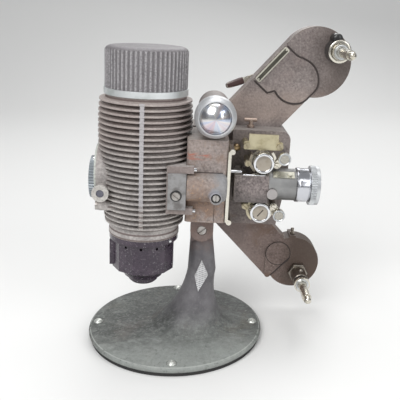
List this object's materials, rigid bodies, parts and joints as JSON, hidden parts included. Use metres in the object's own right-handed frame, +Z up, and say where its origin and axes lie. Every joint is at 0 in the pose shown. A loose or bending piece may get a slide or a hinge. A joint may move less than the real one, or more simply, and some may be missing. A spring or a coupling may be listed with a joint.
{
  "type": "movie projector",
  "caption": "Home movie projector: finned lamphouse, film sprockets, sliding lens gate and two reel arms on a head that tilts on a column with a round base.",
  "frame": {"origin": "on the table, under the centre of the round base", "axes": "+Z up, -Y towards the operator who threads the film, +X towards the screen"},
  "size_m": [0.2352, 0.181, 0.2746],
  "materials": {
    "base_paint": "worn hammered enamel",
    "foot_rubber": "matt",
    "head_paint": "worn hammered enamel",
    "fin_paint": "worn enamel",
    "cap_paint": "crackle enamel",
    "gate_paint": "stippled enamel",
    "shutter_black": "matt black",
    "bearing_black": "satin black",
    "bare_aluminium": "satin",
    "lamp_moulding": "gloss",
    "inlet_moulding": "gloss",
    "chrome": "polished",
    "nickel": "polished nickel",
    "steel": "turned",
    "brass": "aged",
    "winding": "varnished copper",
    "clear_glass": "clear",
    "blue_glass": "grey-blue",
    "mirror": "silvered"
  },
  "bodies": {
    "stand": {"base_casting": "base_paint", "base_ring": "foot_rubber", "base_rivets": "chrome"},
    "head": {"condenser_block": "head_paint", "condenser_cover": "head_paint", "gear_case": "head_paint", "case_cover": "head_paint", "upper_arm": "head_paint", "upper_arm_cover": "head_paint", "lower_arm": "head_paint", "lower_arm_cover": "head_paint", "pilot_tube": "head_paint", "motor_case": "head_paint", "motor_end_bell": "head_paint", "lamphouse": "fin_paint", "lamphouse_cap": "cap_paint", "spindle_bearings": "bearing_black", "cap_band": "bare_aluminium", "lamphouse_plate": "bare_aluminium", "lamp_base_cap": "lamp_moulding", "power_inlet": "inlet_moulding", "pilot_dome": "chrome", "gate_rods": "chrome", "oil_cup": "chrome", "lamphouse_pins": "chrome", "aperture_plate": "nickel", "keeper_posts": "nickel", "pivot_bolt": "steel", "window_bezel": "steel", "motor_field": "steel", "film_guard": "brass", "film_shoes": "brass", "slotted_screws": "brass", "lamp_socket": "brass", "condenser_lenses": "clear_glass", "lamp_bulb": "clear_glass", "window_glass": "blue_glass"},
    "reflector": {"reflector_knob": "steel", "reflector": "mirror"},
    "motor": {"motor_armature": "winding", "cooling_fan": "bare_aluminium"},
    "idler": {"idler_gear": "brass"},
    "upper_sprocket": {"upper_sprocket": "nickel", "upper_sprocket_gear": "brass"},
    "lower_sprocket": {"lower_sprocket": "nickel", "lower_sprocket_gear": "brass"},
    "shutter": {"shutter_drum": "shutter_black", "shutter_gear": "brass"},
    "upper_keeper": {"upper_keeper": "nickel"},
    "lower_keeper": {"lower_keeper": "nickel"},
    "gate": {"gate_casting": "gate_paint", "lens_spring": "brass"},
    "gate_button": {"gate_button": "nickel"},
    "lens": {"lens_tube": "chrome", "lens_glass": "clear_glass"},
    "focus_ring": {"focus_ring": "chrome"},
    "feed_spindle": {"feed_spindle": "nickel"},
    "takeup_spindle": {"takeup_spindle": "nickel"},
    "rewind_lever": {"rewind_lever": "steel"},
    "switch_lever": {"switch_lever": "brass"}
  },
  "joints": [
    {"name": "head_tilt", "type": "hinge", "parent": "stand", "child": "head", "pos_m": [0.025, 0, 0.105], "axis": [0, 1, 0], "range_deg": [-9, 7.5]},
    {"name": "reflector_turn", "type": "hinge", "parent": "head", "child": "reflector", "pos_m": [-0.06404, -0.009, 0.15193], "axis": [0.999, 0, -0.0436], "range_deg": [-90, 90]},
    {"name": "motor_spin", "type": "hinge", "parent": "head", "child": "motor", "pos_m": [0.0594, 0.06, 0.14554], "axis": [0, 1, 0], "continuous": true},
    {"name": "idler_spin", "type": "hinge", "parent": "head", "child": "idler", "pos_m": [0.07559, 0.026, 0.14483], "axis": [0, 1, 0], "continuous": true},
    {"name": "upper_sprocket_spin", "type": "hinge", "parent": "head", "child": "upper_sprocket", "pos_m": [0.07653, 0, 0.16641], "axis": [0, 1, 0], "continuous": true},
    {"name": "lower_sprocket_spin", "type": "hinge", "parent": "head", "child": "lower_sprocket", "pos_m": [0.07464, 0, 0.12325], "axis": [0, 1, 0], "continuous": true},
    {"name": "shutter_spin", "type": "hinge", "parent": "head", "child": "shutter", "pos_m": [0.03602, 0, 0.14656], "axis": [0, 1, 0], "continuous": true},
    {"name": "upper_keeper_open", "type": "hinge", "parent": "head", "child": "upper_keeper", "pos_m": [0.08811, -0.01, 0.1635], "axis": [0, 1, 0], "range_deg": [0, 25]},
    {"name": "lower_keeper_open", "type": "hinge", "parent": "head", "child": "lower_keeper", "pos_m": [0.08651, -0.01, 0.12694], "axis": [0, 1, 0], "range_deg": [-25, 0]},
    {"name": "gate_slide", "type": "slide", "parent": "head", "child": "gate", "axis": [0.999, 0, -0.0436], "range_m": [0, 0.006]},
    {"name": "gate_button_press", "type": "slide", "parent": "gate", "child": "gate_button", "axis": [0, 1, 0], "range_m": [0, 0.0015], "stiffness_N_per_m": 600, "springref_m": -0.001},
    {"name": "focus_turn", "type": "hinge", "parent": "lens", "child": "focus_ring", "pos_m": [0.12278, -0.009, 0.14377], "axis": [0.999, 0, -0.0436], "range_deg": [0, 360]},
    {"name": "lens_slide", "type": "slide", "parent": "gate", "child": "lens", "axis": [0.999, 0, -0.0436], "range_m": [0, 0.008]},
    {"name": "feed_spin", "type": "hinge", "parent": "head", "child": "feed_spindle", "pos_m": [0.14103, 0, 0.25448], "axis": [0, 1, 0], "continuous": true},
    {"name": "takeup_spin", "type": "hinge", "parent": "head", "child": "takeup_spindle", "pos_m": [0.11733, 0, 0.04642], "axis": [0, 1, 0], "continuous": true},
    {"name": "rewind_turn", "type": "hinge", "parent": "head", "child": "rewind_lever", "pos_m": [0.0857, 0.048, 0.23428], "axis": [0, 1, 0], "range_deg": [0, 25]},
    {"name": "switch_turn", "type": "hinge", "parent": "head", "child": "switch_lever", "pos_m": [0.06849, 0.02, 0.19319], "axis": [0.0436, 0, 0.999], "range_deg": [-25, 25]}
  ],
  "couplings": [
    {"joint": "idler_spin", "follows": "motor_spin", "ratio": -0.5},
    {"joint": "upper_sprocket_spin", "follows": "motor_spin", "ratio": 0.5},
    {"joint": "lower_sprocket_spin", "follows": "motor_spin", "ratio": 0.5},
    {"joint": "shutter_spin", "follows": "motor_spin", "ratio": -0.3},
    {"joint": "lens_slide", "follows": "focus_turn", "m_per_rad": 0.0012732}
  ]
}
